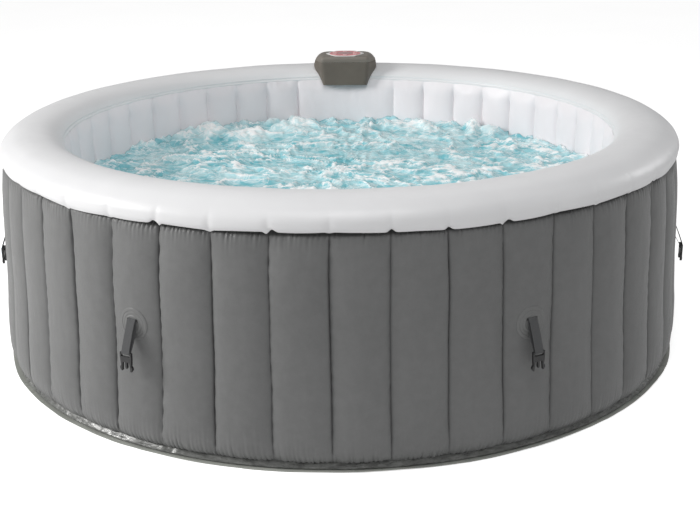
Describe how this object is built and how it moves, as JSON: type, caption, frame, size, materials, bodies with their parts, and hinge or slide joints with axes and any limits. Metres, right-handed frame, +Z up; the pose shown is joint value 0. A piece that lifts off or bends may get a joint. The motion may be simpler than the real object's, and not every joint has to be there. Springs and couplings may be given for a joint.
{
  "type": "inflatable hot tub",
  "caption": "Round inflatable hot tub with a panelled leatherette wall, smooth white rim, rim console, lid strap buckles and an equipment bay built into the back of the wall.",
  "frame": {"origin": "centre of the ground sheet at floor level", "axes": "+Z up, -Y to the front, the console at the back on +Y"},
  "size_m": [2.1086, 2.0879, 0.7248],
  "materials": {
    "leatherette": "satin embossed PVC leatherette",
    "rim_white": "satin PVC",
    "liner_white": "satin PVC",
    "ground_sheet": "PVC sheet",
    "webs": "PVC web",
    "webbing": "woven polypropylene webbing",
    "patch_grey": "welded PVC",
    "buckle_black": "acetal",
    "console_grey": "fine texture ABS",
    "console_trim": "fine texture ABS",
    "bezel_white": "gloss",
    "dial_red": "gloss",
    "display": "smoked",
    "button": "gloss",
    "circuit": "circuit board",
    "steel": "brushed",
    "bay_plastic": "moulded PP",
    "seal": "EPDM",
    "pump_plastic": "glass-filled PP",
    "motor": "powder coat",
    "rotor": "moulded",
    "hose": "flexible PVC",
    "cable": "PVC",
    "fitting_white": "moulded ABS",
    "filter_paper": "pleated polyester",
    "valve_grey": "moulded PVC"
  },
  "bodies": {
    "tub": {"base_sheet": "ground_sheet", "base_flange": "ground_sheet", "outer_wall": "leatherette", "top_ring": "rim_white", "inner_wall": "liner_white", "floor_liner": "liner_white", "weld_bands": "webs", "wall_baffles": "webs", "air_channel": "liner_white", "strap_patches": "patch_grey", "console_base": "console_grey", "console_cover": "console_trim", "screws": "steel", "console_board": "circuit", "control_bezel": "bezel_white", "touch_ring": "dial_red", "display_window": "display", "bay_box": "bay_plastic", "bay_frame": "bay_plastic", "cover_gasket": "seal", "access_cover": "bay_plastic", "power_gland": "buckle_black", "pump_volute": "pump_plastic", "pump_motor": "motor", "heater_tube": "steel", "heater_element": "steel", "blower_housing": "pump_plastic", "blower_motor": "motor", "air_pipe": "hose", "control_board": "circuit", "signal_cable": "cable", "filter_seat": "fitting_white", "return_nozzle": "fitting_white", "inflation_valve": "valve_grey", "drain_fitting": "valve_grey"},
    "front_left_strap": {"front_left_strap": "webbing"},
    "front_left_buckle": {"front_left_buckle": "buckle_black"},
    "front_right_strap": {"front_right_strap": "webbing"},
    "front_right_buckle": {"front_right_buckle": "buckle_black"},
    "right_strap": {"right_strap": "webbing"},
    "right_buckle": {"right_buckle": "buckle_black"},
    "rear_right_strap": {"rear_right_strap": "webbing"},
    "rear_right_buckle": {"rear_right_buckle": "buckle_black"},
    "rear_left_strap": {"rear_left_strap": "webbing"},
    "rear_left_buckle": {"rear_left_buckle": "buckle_black"},
    "left_strap": {"left_strap": "webbing"},
    "left_buckle": {"left_buckle": "buckle_black"},
    "power_button": {"power_button": "button"},
    "heat_button": {"heat_button": "button"},
    "bubble_button": {"bubble_button": "button"},
    "filter_button": {"filter_button": "button"},
    "plus_button": {"plus_button": "button"},
    "minus_button": {"minus_button": "button"},
    "pump_rotor": {"pump_rotor": "rotor"},
    "blower_fan": {"blower_fan": "rotor"},
    "filter_unit": {"filter_cover": "fitting_white", "filter_cartridge": "filter_paper"},
    "valve_core": {"valve_core": "valve_grey"},
    "valve_cap": {"valve_cap": "valve_grey"},
    "drain_plug": {"drain_plug": "valve_grey"}
  },
  "joints": [
    {"name": "front_left_strap_swing", "type": "hinge", "parent": "tub", "child": "front_left_strap", "pos_m": [-0.48917, -0.89585, 0.352], "axis": [-0.8777, 0.4792, 0], "range_deg": [0, 100]},
    {"name": "front_left_buckle_swing", "type": "hinge", "parent": "front_left_strap", "child": "front_left_buckle", "pos_m": [-0.50425, -0.92346, 0.27412], "axis": [-0.8777, 0.4792, 0], "range_deg": [-20, 60]},
    {"name": "front_right_strap_swing", "type": "hinge", "parent": "tub", "child": "front_right_strap", "pos_m": [0.48917, -0.89585, 0.352], "axis": [-0.8777, -0.4792, 0], "range_deg": [0, 100]},
    {"name": "front_right_buckle_swing", "type": "hinge", "parent": "front_right_strap", "child": "front_right_buckle", "pos_m": [0.50425, -0.92346, 0.27412], "axis": [-0.8777, -0.4792, 0], "range_deg": [-20, 60]},
    {"name": "right_strap_swing", "type": "hinge", "parent": "tub", "child": "right_strap", "pos_m": [1.0181, -0.07282, 0.352], "axis": [-0.0713, -0.9975, 0], "range_deg": [0, 100]},
    {"name": "right_buckle_swing", "type": "hinge", "parent": "right_strap", "child": "right_buckle", "pos_m": [1.04949, -0.07506, 0.27412], "axis": [-0.0713, -0.9975, 0], "range_deg": [-20, 60]},
    {"name": "rear_right_strap_swing", "type": "hinge", "parent": "tub", "child": "rear_right_strap", "pos_m": [0.61168, 0.81711, 0.352], "axis": [0.8005, -0.5993, 0], "range_deg": [0, 100]},
    {"name": "rear_right_buckle_swing", "type": "hinge", "parent": "rear_right_strap", "child": "rear_right_buckle", "pos_m": [0.63054, 0.8423, 0.27412], "axis": [0.8005, -0.5993, 0], "range_deg": [-20, 60]},
    {"name": "rear_left_strap_swing", "type": "hinge", "parent": "tub", "child": "rear_left_strap", "pos_m": [-0.61168, 0.81711, 0.352], "axis": [0.8005, 0.5993, 0], "range_deg": [0, 100]},
    {"name": "rear_left_buckle_swing", "type": "hinge", "parent": "rear_left_strap", "child": "rear_left_buckle", "pos_m": [-0.63054, 0.8423, 0.27412], "axis": [0.8005, 0.5993, 0], "range_deg": [-20, 60]},
    {"name": "left_strap_swing", "type": "hinge", "parent": "tub", "child": "left_strap", "pos_m": [-1.0181, -0.07282, 0.352], "axis": [-0.0713, 0.9975, 0], "range_deg": [0, 100]},
    {"name": "left_buckle_swing", "type": "hinge", "parent": "left_strap", "child": "left_buckle", "pos_m": [-1.04949, -0.07506, 0.27412], "axis": [-0.0713, 0.9975, 0], "range_deg": [-20, 60]},
    {"name": "power_button_press", "type": "slide", "parent": "tub", "child": "power_button", "axis": [0, 0, -1], "range_m": [0, 0.0012], "stiffness_N_per_m": 600, "springref_m": -0.0005},
    {"name": "heat_button_press", "type": "slide", "parent": "tub", "child": "heat_button", "axis": [0, 0, -1], "range_m": [0, 0.0012], "stiffness_N_per_m": 600, "springref_m": -0.0005},
    {"name": "bubble_button_press", "type": "slide", "parent": "tub", "child": "bubble_button", "axis": [0, 0, -1], "range_m": [0, 0.0012], "stiffness_N_per_m": 600, "springref_m": -0.0005},
    {"name": "filter_button_press", "type": "slide", "parent": "tub", "child": "filter_button", "axis": [0, 0, -1], "range_m": [0, 0.0012], "stiffness_N_per_m": 600, "springref_m": -0.0005},
    {"name": "plus_button_press", "type": "slide", "parent": "tub", "child": "plus_button", "axis": [0, 0, -1], "range_m": [0, 0.0012], "stiffness_N_per_m": 600, "springref_m": -0.0005},
    {"name": "minus_button_press", "type": "slide", "parent": "tub", "child": "minus_button", "axis": [0, 0, -1], "range_m": [0, 0.0012], "stiffness_N_per_m": 600, "springref_m": -0.0005},
    {"name": "pump_rotor_spin", "type": "hinge", "parent": "tub", "child": "pump_rotor", "pos_m": [0, 0.9, 0.25], "axis": [0, 1, 0], "continuous": true},
    {"name": "blower_fan_spin", "type": "hinge", "parent": "tub", "child": "blower_fan", "pos_m": [-0.062, 0.9, 0.4], "axis": [0, 1, 0], "continuous": true},
    {"name": "filter_unit_pull", "type": "slide", "parent": "tub", "child": "filter_unit", "axis": [0, -1, 0], "range_m": [0, 0.12]},
    {"name": "valve_core_press", "type": "slide", "parent": "tub", "child": "valve_core", "axis": [-0.3495, -0.9369, 0], "range_m": [0, 0.005], "stiffness_N_per_m": 400, "springref_m": -0.002},
    {"name": "valve_cap_pull", "type": "slide", "parent": "tub", "child": "valve_cap", "axis": [0.3495, 0.9369, 0], "range_m": [0, 0.03]},
    {"name": "drain_plug_pull", "type": "slide", "parent": "tub", "child": "drain_plug", "axis": [0.3827, -0.9239, 0], "range_m": [0, 0.03]}
  ]
}
